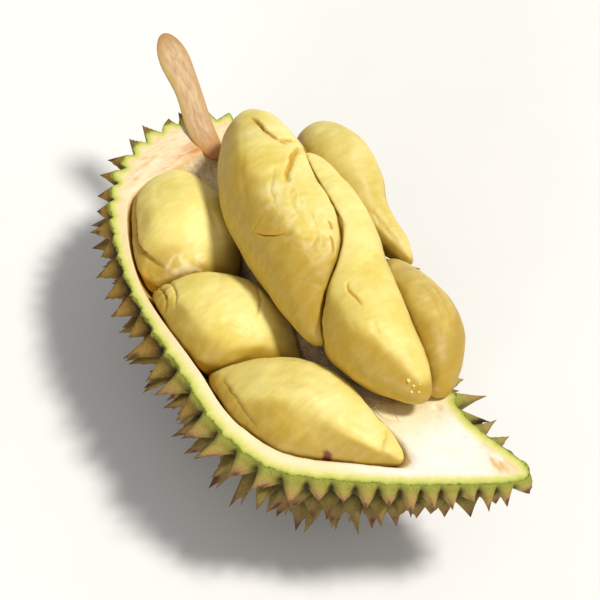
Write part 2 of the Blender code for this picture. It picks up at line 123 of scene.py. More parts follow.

# Lines in the pods' skin: points in plan, depth, width, how gold it is inside (partly the flesh's colour,
# partly painted shade), fall on its right side
CREASES = {
    "left_pod_upper": (
        (((8, -50), (22, -61), (34, -68), (46, -73), (57, -74), (68, -71)), 0.8, 1.0, 0.9, 3.4),
        (((62, -66), (67, -60), (68, -52)), 0.5, 1.0, 0.2, 0.0),
        (((24, -22), (40, -30), (56, -34), (70, -38)), 0.35, 1.6, 0.12, 0.0),
        (((18, -44), (34, -54), (50, -60)), 0.3, 1.8, 0.1, 0.0),
    ),
    "left_pod_middle": (
        (((68, -80), (75, -79), (83, -81), (90, -86)), 1.3, 0.9, 0.55, 0.8),
        (((70, -73), (78, -74), (87, -77), (95, -83)), 1.0, 0.9, 0.4, 0.5),
        (((105, -40), (113, -43), (121, -49), (125, -55)), 0.9, 1.0, 0.4, 0.0),
        (((84, -48), (96, -56), (104, -66)), 0.3, 1.6, 0.1, 0.0),
        (((118, -70), (124, -64), (131, -62)), 0.5, 1.2, 0.2, 0.0),
    ),
    "left_pod_lower": (
        (((163, -72), (171, -63), (177, -58), (186, -57)), 0.8, 2.2, 0.2, 0.0),
        (((165, -81), (176, -77), (185, -75), (194, -69)), 0.6, 2.2, 0.15, 0.0),
        (((138, -84), (150, -87), (162, -88), (176, -88)), 0.5, 0.9, 0.3, 1.2),
        (((212, -38), (219, -44), (224, -53)), 0.5, 1.0, 0.3, 0.6),
        (((188, -50), (197, -52), (206, -58)), 0.4, 1.5, 0.12, 0.0),
        (((146, -62), (152, -56), (160, -52)), 0.35, 1.4, 0.15, 0.0),
    ),
    "centre_pod_upper": (
        (((30, 9), (38, 9), (47, 8), (55, 9), (62, 12)), 2.0, 0.8, 1.0, 1.0),
        (((56, 9), (58, 13), (58, 19)), 1.2, 1.2, 0.5, 1.8),
        (((62, 20), (67, 13), (73, 6), (80, -1), (86, -8)), 2.6, 1.5, 0.9, 0.0),
        (((95, -35), (102, -33), (108, -29), (114, -23)), 1.2, 0.45, 1.1, -1.0),
        (((95, -35), (95, -32), (94, -28)), 0.8, 0.45, 0.8, 0.0),
        (((73, -4), (83, -14), (92, -19), (104, -20)), 0.4, 1.2, 0.15, 0.5),
        (((87, -5), (96, -12), (106, -15), (116, -14)), 0.4, 1.2, 0.15, -0.5),
        (((102, -8), (112, -9), (121, -12), (126, -20)), 0.4, 1.2, 0.2, 0.5),
        (((116, -1), (119, -3), (122, -5)), 1.4, 1.3, 0.8, 0.0),
        (((124, -7), (128, -9), (133, -12)), 1.6, 0.8, 0.9, 0.0),
        (((30, -10), (46, -20), (62, -30), (78, -36)), 0.4, 1.8, 0.15, 0.0),
        (((36, 0), (52, -10), (68, -22), (88, -31)), 0.35, 1.6, 0.1, 0.0),
        (((118, -38), (130, -34), (138, -28), (146, -24)), 0.4, 1.5, 0.15, 0.0),
    ),
    "centre_pod_lower": (
        (((150, -17), (156, -19), (161, -19), (167, -19)), 1.1, 0.9, 0.75, 0.0),
        (((175, -19), (181, -21), (187, -19)), 0.4, 1.6, 0.15, 0.0),
        (((165, -26), (170, -28), (175, -28)), 0.4, 1.6, 0.15, 0.0),
        (((90, 3), (101, 6), (112, 6), (124, 2)), 0.5, 1.2, 0.2, 0.0),
        (((180, -6), (190, -7), (200, -12)), 0.4, 1.4, 0.2, 0.0),
    ),
    "right_pod_upper": (
        (((100, 33), (108, 35), (117, 35), (126, 38)), 0.4, 1.4, 0.2, 0.0),
    ),
    "right_pod_lower": (
        (((160, 27), (172, 26), (186, 22), (196, 14)), 0.4, 1.2, 0.3, 0.4),
        (((158, 20), (172, 21), (184, 17), (196, 9)), 0.35, 1.2, 0.25, 0.3),
    ),
}
CREASE_STEP = 0.3
CREASE_TRACE = 10.0  # how far a crease is felt on the skin round it

# Wrinkled skin: points in plan, how far it spreads, wrinkle height, how gold (partly painted shade in the
# fold valleys) or, below 0, how pale it is
WRINKLES = {
    "left_pod_upper": (
        (((28, -70), (40, -77), (52, -81), (66, -80)), 9, 1.0, 0.8),
        (((70, -66), (75, -56)), 8, 0.45, -0.5),
    ),
    "left_pod_middle": ((((70, -80), (84, -84)), 11, 0.7, 0.25),),
    "left_pod_lower": ((((140, -88), (156, -91), (174, -92)), 8, 0.6, 0.3),),
    "centre_pod_upper": ((((86, -6), (98, -14), (112, -14), (122, -15)), 18, 0.45, -0.28),),
    "centre_pod_lower": ((((100, -1), (118, -4)), 10, 0.4, -0.3),),
}
WRINKLE_SIZE = 7.0
SWELLS = ((1.1, 24, 1), (0.5, 10, 2), (0.2, 5, 12))  # the unevenness of the skin: height, size, seed
CAST_FROM = 200.0  # height above everything, from which places in plan are found on a pod

# Crumbs of flesh on a pod, and a bruise: place in plan and size
CRUMBS = ((206, -21, 1.1), (209, -20, 0.8), (212, -19, 0.9), (210, -22, 0.7), (210, -17, 0.7))
BRUISE = ("left_pod_lower", (207.5, -70.5), 3.2)

# The torn fibres on the septum: some spread along the whole span, the rest round one place; their sizes
FIBRES = 420
FIBRE_SPAN, FIBRE_SPREAD_SHARE, FIBRE_TUFT = (60, 206), 0.4, (152, 12)
FIBRE_ASIDE, FIBRE_TURN, FIBRE_CURL = (-12, 6), (0.12, 0.45), 2.2
FIBRE_LENGTH, FIBRE_RISE, FIBRE_RADIUS = (6, 17), (0.2, 2.4), (0.16, 0.42)
FIBRE_CUTS = 7
FIBRE_CLEARANCE = 0.5

# The pits in the pith: place in plan, size, depth
PITS = ((215, -9, 3.2, 2.0), (220, -13, 2.0, 1.2), (243, -7, 3.6, 1.6), (236, -12, 2.2, 1.0))

# Where the cut face and the rind change colour, along the fruit
STEM_END, GREEN_FROM, PITH_FROM = (2, 26), (60, 190), (206, 236)
STEM_FOOT, STEM_FOOT_REACH = (10, -8), (6, 20)

# Stem
STEM_PATH = ((14, -2, -2), (-8, 1, 2), (-30, 8, 9), (-50, 12, 17), (-65, 15, 23))
STEM_HALF_WIDTH = (7.0, 7.6, 7.4, 8.8, 6.5)
STEM_DEPTH = (6.0, 7.0, 6.8, 7.6, 6.0)
STEM_CROWN = 0.22
STEM_BLUNTNESS = 6.0
STEM_SEGMENTS, STEM_RINGS = 96, 140

# Camera
CAMERA_TARGET = (122.0, -24.4, CUT_HEIGHT)
CAMERA_TURN, CAMERA_RISE, CAMERA_DISTANCE = math.radians(54.1), math.radians(52.0), 850.0
CAMERA_LENS, CAMERA_SENSOR = 99.03, 36.0

# Light: energy, spread in degrees, colour, and the way toward it
KEY_SUN = (2.9, 11, (1.0, 0.97, 0.89), (0.30, 0.42, 0.86))
FILL_SUN = (1.3, 24, (1.0, 1.0, 1.0), (0.5, -0.8, 0.16))
SKY_COLOUR, SKY_STRENGTH = (1.0, 0.985, 0.95, 1), 0.33
FLOOR_HALF = 4  # metres


def smooth_table(table, s):
    """Cubic interpolation of (place, value) rows at s, a number or an array."""
    places = np.array([row[0] for row in table], float)
    values = np.array([row[1] for row in table], float)
    slopes = np.gradient(values, places)
    s = np.clip(s, places[0], places[-1])
    k = np.clip(np.searchsorted(places, s, side="right") - 1, 0, len(places) - 2)
    step = places[k + 1] - places[k]
    t = (s - places[k]) / step
    return (
        (2 * t**3 - 3 * t**2 + 1) * values[k]
        + (t**3 - 2 * t**2 + t) * step * slopes[k]
        + (3 * t**2 - 2 * t**3) * values[k + 1]
        + (t**3 - t**2) * step * slopes[k + 1]
    )


def smooth_path(points, share):
    """Points on a smooth curve through the given ones; share runs from -1 to 1."""
    places = np.linspace(-1, 1, len(points))
    columns = [smooth_table(list(zip(places, column)), share) for column in zip(*points)]
    return np.stack(columns, 1)


def smooth_step(low, high, value):
    t = np.clip((value - low) / (high - low), 0.0, 1.0)
    return t * t * (3 - 2 * t)


def search_tree(places):
    """Finds the nearest of the places."""
    tree = kdtree.KDTree(len(places))
    for index, place in enumerate(places):
        tree.insert(place, index)
    tree.balance()
    return tree


def unit_rows(vectors):
    return vectors / np.linalg.norm(vectors, axis=1, keepdims=True)


def lumps(points, size, seed=0):
    """Smooth noise from -1 to 1 at points, with lumps of about the given size in mm."""
    shift = seed * 17.3
    return np.array([noise.noise((x / size + shift, y / size - shift, z / size)) for x, y, z in points])


# ---- The fruit's body: a unit sphere stretched and bent ----


def body_from_sphere(unit):
    s = unit[:, 0]
    x = BODY_MIDDLE_X + BODY_HALF_LENGTH * s
    y = smooth_table(CENTRE_Y, s) + smooth_table(HALF_WIDTH, s) * unit[:, 1]
    z = CUT_HEIGHT + smooth_table(DEPTH, s) * unit[:, 2]
    return np.stack([x, y, z], 1)


def sphere_from_body(points):
    s = (points[:, 0] - BODY_MIDDLE_X) / BODY_HALF_LENGTH
    v = (points[:, 1] - smooth_table(CENTRE_Y, s)) / smooth_table(HALF_WIDTH, s)
    w = (points[:, 2] - CUT_HEIGHT) / smooth_table(DEPTH, s)
    return np.stack([s, v, w], 1)


def body_normals(points, step=0.01):
    """Outward unit normals of the body at points on it."""
    gradient = np.empty_like(points)
    for axis in range(3):
        offset = np.zeros(3)
        offset[axis] = step
        ahead = (sphere_from_body(points + offset) ** 2).sum(1)
        behind = (sphere_from_body(points - offset) ** 2).sum(1)
        gradient[:, axis] = ahead - behind
    return unit_rows(gradient)


def row_round_body(height, offset):
    """Points spaced by the pitch round the body, at a height above the cut face, a table over s."""
    turn = np.linspace(0, 2 * math.pi, 721)
    flat = np.stack([np.cos(turn), np.sin(turn), np.zeros_like(turn)], 1)
    z = smooth_table(height, flat[:, 0]) / smooth_table(DEPTH, flat[:, 0])
    ring = flat * np.sqrt(1 - z**2)[:, None]
    ring[:, 2] = z
    steps = np.linalg.norm(np.diff(body_from_sphere(ring), axis=0), axis=1)
    run = np.concatenate([[0], np.cumsum(steps / smooth_table(SPINE_PITCH, ring[1:, 0]))])
    count = round(run[-1])
    places = (np.arange(count) + offset) / count * run[-1]
    return np.stack([np.interp(places, run, ring[:, axis]) for axis in range(3)], 1)


def level_row(height, offset):
    return row_round_body(((-1.0, height), (1.0, height)), offset)


def spines_below_cut():
    """How many spines the body below the cut face takes, from a grid on its half sphere."""
    turn, drop = np.meshgrid(np.linspace(0, 2 * math.pi, 181), np.linspace(0, math.pi / 2, 46))
    grid = np.stack([np.cos(turn) * np.cos(drop), np.sin(turn) * np.cos(drop), -np.sin(drop)], 2)
    points = body_from_sphere(grid.reshape(-1, 3)).reshape(grid.shape)
    across = points[:-1, 1:] - points[:-1, :-1]
    down = points[1:, :-1] - points[:-1, :-1]
    area = np.linalg.norm(np.cross(across, down), axis=2)
    cell = SPINE_CELL * smooth_table(SPINE_PITCH, grid[1:, 1:, 0]) ** 2
    return round(float((area / cell).sum()))


def spine_places():
    """Spines on the unit sphere, spread evenly on the lower body by repulsion, and the guard row."""
    random = np.random.default_rng(SEED)
    top_row = row_round_body([(s, -drop) for s, drop in RIM_ROW_DROP], 0.0)
    guard_row = level_row(GUARD_ROW_RISE, 0.5)
    count = spines_below_cut() - len(top_row)
    loose = unit_rows(random.normal(size=(count, 3)))
    loose[:, 2] = -np.abs(loose[:, 2]) - 0.1
    loose = unit_rows(loose)
    fixed = body_from_sphere(np.concatenate([top_row, guard_row]))
    for _ in range(RELAX_STEPS):
        here = body_from_sphere(loose)
        others = np.concatenate([here, fixed])
        apart = here[:, None, :] - others[None, :, :]
        distance = np.linalg.norm(apart, axis=2) + 1e-9
        reach = 1.35 * smooth_table(SPINE_PITCH, loose[:, 0])
        push = np.clip(reach[:, None] / distance - 1, 0, 1.5)
        push[distance < 1e-6] = 0
        here = here + 0.175 * (apart * push[:, :, None]).sum(1)
        loose = unit_rows(sphere_from_body(here))
        drop = smooth_table(RIM_ROW_DROP, loose[:, 0]) + SECOND_ROW_DROP
        loose[:, 2] = np.minimum(loose[:, 2], -drop / smooth_table(DEPTH, loose[:, 0]))
        loose = unit_rows(loose)
    return np.round(np.concatenate([top_row, loose]), 4), np.round(guard_row, 4)


# ---- The cut face and the hollows below it ----


def rim_height(points):
    """Height of the cut face's rim at x, y, with no hollow in it."""
    x, y = points[:, 0], points[:, 1]
    flat = sphere_from_body(np.column_stack([x, y, np.full(len(points), CUT_HEIGHT)]))
    s = np.clip(flat[:, 0], -1, 1)
    sag = smooth_table(FAR_SIDE_SAG, s) * smooth_step(0.15, 0.6, flat[:, 1])
    return CUT_HEIGHT - sag, flat


def toward_edge(flat):
    """The way toward each point along the body, and what share of the way to the edge a mm is."""
    toward = flat[:, :2] / np.maximum(np.hypot(flat[:, 0], flat[:, 1]), 1e-9)[:, None]
    half_width = smooth_table(HALF_WIDTH, toward[:, 0])
    return toward[:, 0], np.hypot(toward[:, 0] / BODY_HALF_LENGTH, toward[:, 1] / half_width)


def rim_share(flat):
    """Where the hollow starts toward each point, as a share of the way to the edge."""
    s, per_mm = toward_edge(flat)
    return 1 - smooth_table(RIM_WIDTH, s) * per_mm


def inside_rim(points):
    """How far points are inside the hollow in plan, in mm; negative over the rim."""
    _, flat = rim_height(points)
    s, per_mm = toward_edge(flat)
    return (1 - np.hypot(flat[:, 0], flat[:, 1])) / per_mm - smooth_table(RIM_WIDTH, s)


def septum_wall(points, s):
    """1 on the top of the septum, 0 past its foot."""
    beside = points[:, 1] - smooth_table(SEPTUM_LINE, s)
    return 1 - np.maximum(smooth_step(*SEPTUM_LEFT, -beside), smooth_step(*SEPTUM_RIGHT, beside))


def cut_face_height(points):
    """Height of the husk's upper side at x, y: rim, locules, septum and solid pith."""
    x = points[:, 0]
    rim, flat = rim_height(points)
    s = np.clip(flat[:, 0], -1, 1)
    reach = np.hypot(flat[:, 0], flat[:, 1]) / rim_share(flat)
    right = smooth_step(-6, 6, points[:, 1] - smooth_table(SEPTUM_LINE, s))
    left_end, right_end = smooth_step(*LEFT_LOCULES_END, x), smooth_step(*RIGHT_LOCULES_END, x)
    hollow = smooth_step(*LOCULES_START, x) * (1 - left_end + (left_end - right_end) * right)
    drop = hollow * FLOOR_SHARE * smooth_table(DEPTH, s) * np.clip(1 - reach**2, 0, 1) ** WALL_CURVE
    wall = septum_wall(points, s)
    return rim - np.minimum(drop, drop * (1 - wall) + smooth_table(SEPTUM_DROP, s) * wall)


def in_husk(points):
    """Whether points lie in the husk, or within the gap to it."""
    taken = np.zeros(len(points), bool)
    for x, y in ((HUSK_GAP, 0), (-HUSK_GAP, 0), (0, HUSK_GAP), (0, -HUSK_GAP)):
        taken |= points[:, 2] - HUSK_GAP / 2 < cut_face_height(points + (x, y, 0))
    return taken


# ---- Flesh pods ----


class Pod:
    """A bent, tapered ellipsoid with blunt ends, and how far any point is from its skin."""

    def __init__(self, points, radii):
        self.points = [(x, y, z + CUT_HEIGHT) for x, y, z in points]
        self.radii = [(radius,) for radius in radii]
        self.nestled = max(point[2] for point in points) < 0
        share = np.linspace(-1, 1, AXIS_SAMPLES)
        self.centres = self.middle_line(share)
        self.sizes = self.radius(share) * np.sqrt(1 - np.abs(share) ** POD_BLUNTNESS)

    def radius(self, share):
        return smooth_path(self.radii, share)[:, 0]

    def middle_line(self, share):
        """The line through the points, run on past both ends so that the ends are rounded."""
        first, second = np.array(self.points[:2])
        before_last, last = np.array(self.points[-2:])
        start = (first - second) * self.radii[0][0] / np.linalg.norm(first - second)
        end = (last - before_last) * self.radii[-1][0] / np.linalg.norm(last - before_last)
        run_on = np.clip(-share, 0, 1)[:, None] ** 3 * start + np.clip(share, 0, 1)[:, None] ** 3 * end
        return smooth_path(self.points, share) + run_on

    def distance(self, points):
        """Distance to the skin, negative inside."""
        apart = points[:, None, :] - self.centres[None]
        return (np.linalg.norm(apart, axis=2) - self.sizes).min(1)

    def skin(self, unit):
        """Skin points for points on the unit sphere, and the inner points that they stand over."""
        share = unit[:, 0]
        ahead = self.middle_line(np.clip(share + 0.01, -1, 1))
        behind = self.middle_line(np.clip(share - 0.01, -1, 1))
        along = unit_rows(ahead - behind)
        side = unit_rows(np.cross(along, (0, 0, 1.0)))
        up = np.cross(side, along)
        blunt = np.sqrt((1 - np.abs(share) ** POD_BLUNTNESS + 1e-9) / (1 - share**2 + 1e-9))
        offset = (side * unit[:, 1:2] + up * unit[:, 2:3]) * (self.radius(share) * blunt)[:, None]
        return self.middle_line(share) + offset, self.middle_line(share * 0.6)


def press(pod, neighbours, unit):
    """The pod's skin, pulled in and rounded where it meets its neighbours or the husk."""
    skin, inner = pod.skin(unit)
    outward = skin - inner
    length = np.linalg.norm(outward, axis=1)

    def blocked(share):
        at = inner + outward * share[:, None]
        own = pod.distance(at)
        taken = in_husk(at)
        for other in neighbours:
            taken |= other.distance(at) < own
        if pod.nestled:
            taken |= at[:, 2] > CUT_HEIGHT + FLANK_SLOPE * inside_rim(at)
        return taken

    free = np.zeros(len(skin))
    moving = np.ones(len(skin), bool)
    for step in range(1, PRESS_STEPS + 1):
        share = np.full(len(skin), PRESS_REACH * step / PRESS_STEPS)
        moving &= ~blocked(share)
        free = np.where(moving, share, free)
    low, high = free, free + PRESS_REACH / PRESS_STEPS
    for _ in range(PRESS_HALVINGS):
        middle = (low + high) / 2
        taken = blocked(middle)
        low, high = np.where(taken, low, middle), np.where(taken, middle, high)
    reach = np.where(moving, UNPRESSED, low) * length - POD_GAP / 2
    blend = np.clip(0.5 + 0.5 * (reach - length) / PRESS_ROUNDING, 0, 1)
    kept = reach * (1 - blend) + length * blend - PRESS_ROUNDING * blend * (1 - blend)
    return inner + outward * (np.maximum(kept, 0.05 * length) / length)[:, None]


# ---- Meshes ----


def vertex_array(bm):
    return np.array([v.co for v in bm.verts], float)


def move_vertices(bm, points):
    for vertex, point in zip(bm.verts, points):
        vertex.co = point


def face_outward(bm):
    if bm.calc_volume(signed=True) < 0:
        bmesh.ops.reverse_faces(bm, faces=bm.faces)
    bm.normal_update()


def mesh_object(name, bm):
    """An object from a bmesh, which it uses up."""
    mesh = bpy.data.meshes.new(name)
    bm.to_mesh(mesh)
    bm.free()
    obj = bpy.data.objects.new(name, mesh)
    bpy.context.scene.collection.objects.link(obj)
    return obj


def apply_modifiers(obj):
    """A bmesh of what the object's modifiers make of it; the object goes."""
    evaluated = obj.evaluated_get(bpy.context.evaluated_depsgraph_get())
    bm = bmesh.new()
    bm.from_mesh(evaluated.to_mesh())
    evaluated.to_mesh_clear()
    bpy.data.objects.remove(obj)
    return bm


def finish_piece(name, bm, finishes, marks, node):
    """The finished piece in the model's frame, with its marks as vertex attributes."""
    face_outward(bm)
    move_vertices(bm, (vertex_array(bm) + FRAME_SHIFT) * MM)
    for face in bm.faces:
        face.smooth = True
    piece = mesh_object(name, bm)
    for finish in finishes:
        piece.data.materials.append(finish)
    for key, values in marks.items():
        layer = piece.data.attributes.new(key, "FLOAT", "POINT")
        layer.data.foreach_set("value", np.asarray(values, np.float32))
    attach(piece, "root")
    if node:
        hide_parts(node)
    return piece


def sphere_mesh(segments, rings):
    """A bmesh sphere with its poles on X, and its vertices as an array."""
    bm = bmesh.new()
    bmesh.ops.create_uvsphere(bm, u_segments=segments, v_segments=rings, radius=1)
    return bm, vertex_array(bm)[:, [2, 0, 1]]


# ---- Husk ----


def spine_shares(points, places):
    """For each point, the spine it belongs to and its share of the way up, 0 at the valley, 1 at the tip."""
    tree = search_tree(places)
    around = np.array([[found[1] for found in tree.find_n(place, SPINE_NEIGHBOURS)] for place in places])
    toward = places[around] - places[:, None, :]
    toward = toward / (np.linalg.norm(toward, axis=2, keepdims=True) ** 2 / 2 + 1e-6)
    own = np.array([tree.find(point)[1] for point in points])
    offset = points - places[own]
    crossing = np.einsum("ij,ikj->ik", offset, toward[own]).max(1)
    return own, np.clip(1 - crossing, 0, 1)


def make_spiny_body():
    """The whole body: a hull through the spines' places, finely divided and raised into spines."""
    random = np.random.default_rng(SEED + 1)
    spines, guard = spine_places()
    crown = level_row(CROWN_ROW_HEIGHT, 0.25)[::CROWN_ROW_STEP]
    corners = np.concatenate([spines, guard, crown, [(0, 0, 1.0)]])
    stretch = np.array([BODY_HALF_LENGTH, DEPTH[2][1], DEPTH[2][1]])
    bm = bmesh.new()
    for corner in corners:
        bm.verts.new(corner * stretch)
    bmesh.ops.convex_hull(bm, input=bm.verts)
    bmesh.ops.delete(bm, geom=[v for v in bm.verts if not v.link_faces], context="VERTS")
    bmesh.ops.subdivide_edges(bm, edges=bm.edges, cuts=SPINE_CUTS, use_grid_fill=True)
    bmesh.ops.triangulate(bm, faces=bm.faces)
    points = body_from_sphere(unit_rows(vertex_array(bm) / stretch))
    places = body_from_sphere(corners)
    height = smooth_table(SPINE_HEIGHT, spines[:, 0])
    height = height * (1 + SPINE_HEIGHT_SPREAD * random.uniform(-1, 1, len(spines)))
    normals = body_normals(places[: len(spines)])
    room = (places[: len(spines), 2] - TIP_CLEARANCE) / np.maximum(-normals[:, 2], 1e-3)
    height = np.where(normals[:, 2] < 0, np.minimum(height, np.maximum(room, 1.0)), height)
    height = np.concatenate([height, np.zeros(len(corners) - len(spines))])
    lean = random.normal(size=(len(corners), 3)) * SPINE_LEAN * (1, 1, 0.4)
    own, share = spine_shares(points, places)
    rise = height[own] * share**SPINE_CURVE
    bend = lean[own] * (height[own] * share**2)[:, None]
    points = points + body_normals(points) * rise[:, None] + bend
    points[:, 2] = np.maximum(points[:, 2], TIP_CLEARANCE)
    move_vertices(bm, points)
    return bm, places


def make_keep_block():
    """What the husk keeps of the body: everything below the cut face."""
    hollow = np.sin(np.linspace(0, math.pi / 2, HOLLOW_ROWS + 1))
    rim = np.linspace(1.0, 2.0, RIM_ROWS + 1)[1:]
    past = np.linspace(2.0, 2.24, SPINE_ROWS + 1)[1:]
    places = np.concatenate([hollow, rim, past, [1 + KEEP_REACH]])
    rows = len(places) - 1
    bm = bmesh.new()
    bmesh.ops.create_uvsphere(bm, u_segments=KEEP_SEGMENTS, v_segments=2 * rows, radius=1)
    bmesh.ops.delete(bm, geom=[v for v in bm.verts if v.co.z < -1e-6], context="VERTS")
    unit = vertex_array(bm)
    row = np.arccos(np.clip(unit[:, 2], -1, 1)) / (math.pi / 2) * rows
    place = np.interp(row, np.arange(rows + 1), places)
    inner = rim_share(unit)
    reach = np.where(place < 1, place * inner, inner + (place - 1) * (1 - inner))
    reach = np.where(place < 2, reach, place - 1)
    disc = unit * (reach / np.maximum(np.hypot(unit[:, 0], unit[:, 1]), 1e-9))[:, None]
    disc[:, 2] = 0
    points = body_from_sphere(disc)
    points[:, 2] = cut_face_height(points)
    move_vertices(bm, points)
    edge = [e for e in bm.edges if e.is_boundary]
    wall = bmesh.ops.extrude_edge_only(bm, edges=edge)["geom"]
    for vertex in [part for part in wall if isinstance(part, bmesh.types.BMVert)]:
        vertex.co.z = -20
    bmesh.ops.holes_fill(bm, edges=[e for e in bm.edges if e.is_boundary])
    bmesh.ops.recalc_face_normals(bm, faces=bm.faces)
    bmesh.ops.triangulate(bm, faces=bm.faces)
    for face in bm.faces:
        face.material_index = 1
    return bm


def distance_to(points, targets):
    tree = search_tree(targets)
    return np.array([tree.find(point)[2] for point in points])


def make_husk(finishes):
    body, places = make_spiny_body()
    blank = bpy.data.materials.new("blank")
    husk = mesh_object("spiny_body", body)
    block = mesh_object("keep_block", make_keep_block())
    for obj in (husk, block):
        obj.data.materials.append(blank)
        obj.data.materials.append(blank)
    cut = husk.modifiers.new("keep", "BOOLEAN")
    cut.operation = "INTERSECT"
    cut.object = block
    cut.solver = "MANIFOLD"
    bm = apply_modifiers(husk)
    bpy.data.objects.remove(block)
    bpy.data.materials.remove(blank)
    points = vertex_array(bm)
    on_cut = np.zeros(len(points), bool)
    on_skin = np.zeros(len(points), bool)
    for face in bm.faces:
        side = on_cut if face.material_index else on_skin
        for vertex in face.verts:
            side[vertex.index] = True
    for edge in bm.edges:
        sides = {face.material_index for face in edge.link_faces}
        edge.smooth = len(sides) == 1
    marks = husk_marks(points, on_cut, on_skin, places)
    inner = on_cut & ~on_skin
    points[inner, 2] += cut_relief(points[inner], {key: values[inner] for key, values in marks.items()})
    move_vertices(bm, points)
    return finish_piece("husk_shell", bm, finishes, marks, "husk")


def cut_relief(points, marks):
    """Fibres, roughness and pits of the cut face, as heights."""
    edge = smooth_step(0.0, 2.5, marks["from_edge"])
    rough = 0.35 * lumps(points, 7, 1) + 0.2 * lumps(points, 3, 2)
    strands = 1 - 2.2 * np.abs(lumps(points * (0.25, 1, 1), 3.0, 3))
    on_wall = marks["septum"] * smooth_step(1, 3, marks["drop"])
    fibres = 0.6 * strands * np.maximum(on_wall, 0.6 * marks["stem_end"])
    pits = np.zeros(len(points))
    for x, y, size, depth in PITS:
        apart = np.hypot(points[:, 0] - x, points[:, 1] - y) + 0.9 * lumps(points, 2.5, 4)
        pits = np.minimum(pits, -depth * (1 - smooth_step(0.3 * size, size, apart)))
    return edge * (rough + fibres + 0.3 * marks["pith"] * strands) + pits


def make_fibres(finish):
    """Torn fibres lying along the septum between the pods."""
    random = np.random.default_rng(SEED + 3)
    bm = bmesh.new()
    tones = []
    for _ in range(FIBRES):
        spread_out = random.uniform() < FIBRE_SPREAD_SHARE
        x = random.uniform(*FIBRE_SPAN) if spread_out else random.normal(*FIBRE_TUFT)
        s = (x - BODY_MIDDLE_X) / BODY_HALF_LENGTH
        y = float(smooth_table(SEPTUM_LINE, s)) + random.uniform(*FIBRE_ASIDE)
        turn = random.normal(*FIBRE_TURN)
        length = random.uniform(*FIBRE_LENGTH)
        curl = random.normal(0, FIBRE_CURL)
        rise = random.uniform(*FIBRE_RISE)
        radius = random.uniform(*FIBRE_RADIUS)
        start = len(bm.verts)
        strand = bmesh.ops.create_cone(
            bm, cap_ends=True, segments=5, radius1=1, radius2=0.35, depth=2
        )["verts"]
        edges = {edge for vertex in strand for edge in vertex.link_edges}
        long_edges = [edge for edge in edges if abs(edge.verts[0].co.z - edge.verts[1].co.z) > 1]
        bmesh.ops.subdivide_edges(bm, edges=long_edges, cuts=FIBRE_CUTS)
        verts = list(bm.verts)[start:]
        local = np.array([v.co for v in verts])
        share = local[:, 2]
        ahead = length / 2 * share
        aside = curl * (share**2 - 0.5) + radius * local[:, 0]
        path = np.column_stack([
            x + ahead * math.cos(turn) - aside * math.sin(turn),
            y + ahead * math.sin(turn) + aside * math.cos(turn),
            np.zeros(len(share)),
        ])
        lift = rise * (share + 1) ** 2 / 4 + radius * local[:, 1]
        path[:, 2] = cut_face_height(path) + FIBRE_CLEARANCE + lift
        for vertex, point in zip(verts, path):
            vertex.co = point
        tones += [random.uniform()] * len(verts)
    return finish_piece("septum_fibres", bm, [finish], {"tone": tones}, None)


def husk_marks(points, on_cut, on_skin, places):
    """What the husk's finishes need to know at each point."""
    from_edge = distance_to(points, points[on_cut & on_skin])
    from_foot = np.linalg.norm(points[:, :2] - STEM_FOOT, axis=1)
    rim, flat = rim_height(points)
    s = np.clip(flat[:, 0], -1, 1)
    own, share = spine_shares(points, places)
    tone = np.random.default_rng(SEED + 2).uniform(size=len(places))
    return {
        "from_edge": np.where(on_cut, from_edge, 0),
        "drop": np.where(on_cut, rim - points[:, 2], 0),
        "septum": septum_wall(points, s) * on_cut,
        "stem_end": 1 - smooth_step(*STEM_END, points[:, 0]),
        "stem_foot": 1 - smooth_step(*STEM_FOOT_REACH, from_foot),
        "far_tip": smooth_step(-30, 0, points[:, 1] - 0.3 * (250 - points[:, 0])),
        "pith": smooth_step(*PITH_FROM, points[:, 0]),
        "green": smooth_step(*GREEN_FROM, points[:, 0]),
        "below_edge": from_edge,
        "tip": share,
        "tone": tone[own],
    }


# ---- The pods' skin ----


def on_skin_below(x, y, skin):
    return skin.ray_cast(Vector((x, y, CAST_FROM)), Vector((0, 0, -1)))[0]


def line_in_skin(points, step, skin):
    """A smooth line through points in plan, laid on the skin from above."""
    length = sum(math.dist(a, b) for a, b in zip(points, points[1:]))
    line = smooth_path(points, np.linspace(-1, 1, max(int(length / step), 4)))
    hits = [on_skin_below(x, y, skin) for x, y in line]
    return [hit for hit in hits if hit]


def beside_line(line, points, near):
    """Which points are near a line, how far left of it they are, and how far along it, from -1 to 1."""
    tree = search_tree(line)
    low = np.min(line, axis=0) - near
    high = np.max(line, axis=0) + near
    close = np.flatnonzero(((points > low) & (points < high)).all(1))
    found = [tree.find(point) for point in points[close]]
    close = close[[hit[2] < near for hit in found]]
    found = [hit for hit in found if hit[2] < near]
    index = np.array([hit[1] for hit in found], int)
    distance = np.array([hit[2] for hit in found])
    line = np.array(line)
    ahead = line[np.minimum(index + 2, len(line) - 1)] - line[np.maximum(index - 2, 0)]
    apart = points[close] - line[index]
    left = np.sign(ahead[:, 0] * apart[:, 1] - ahead[:, 1] * apart[:, 0])
    return close, left * distance, 2 * index / (len(line) - 1) - 1


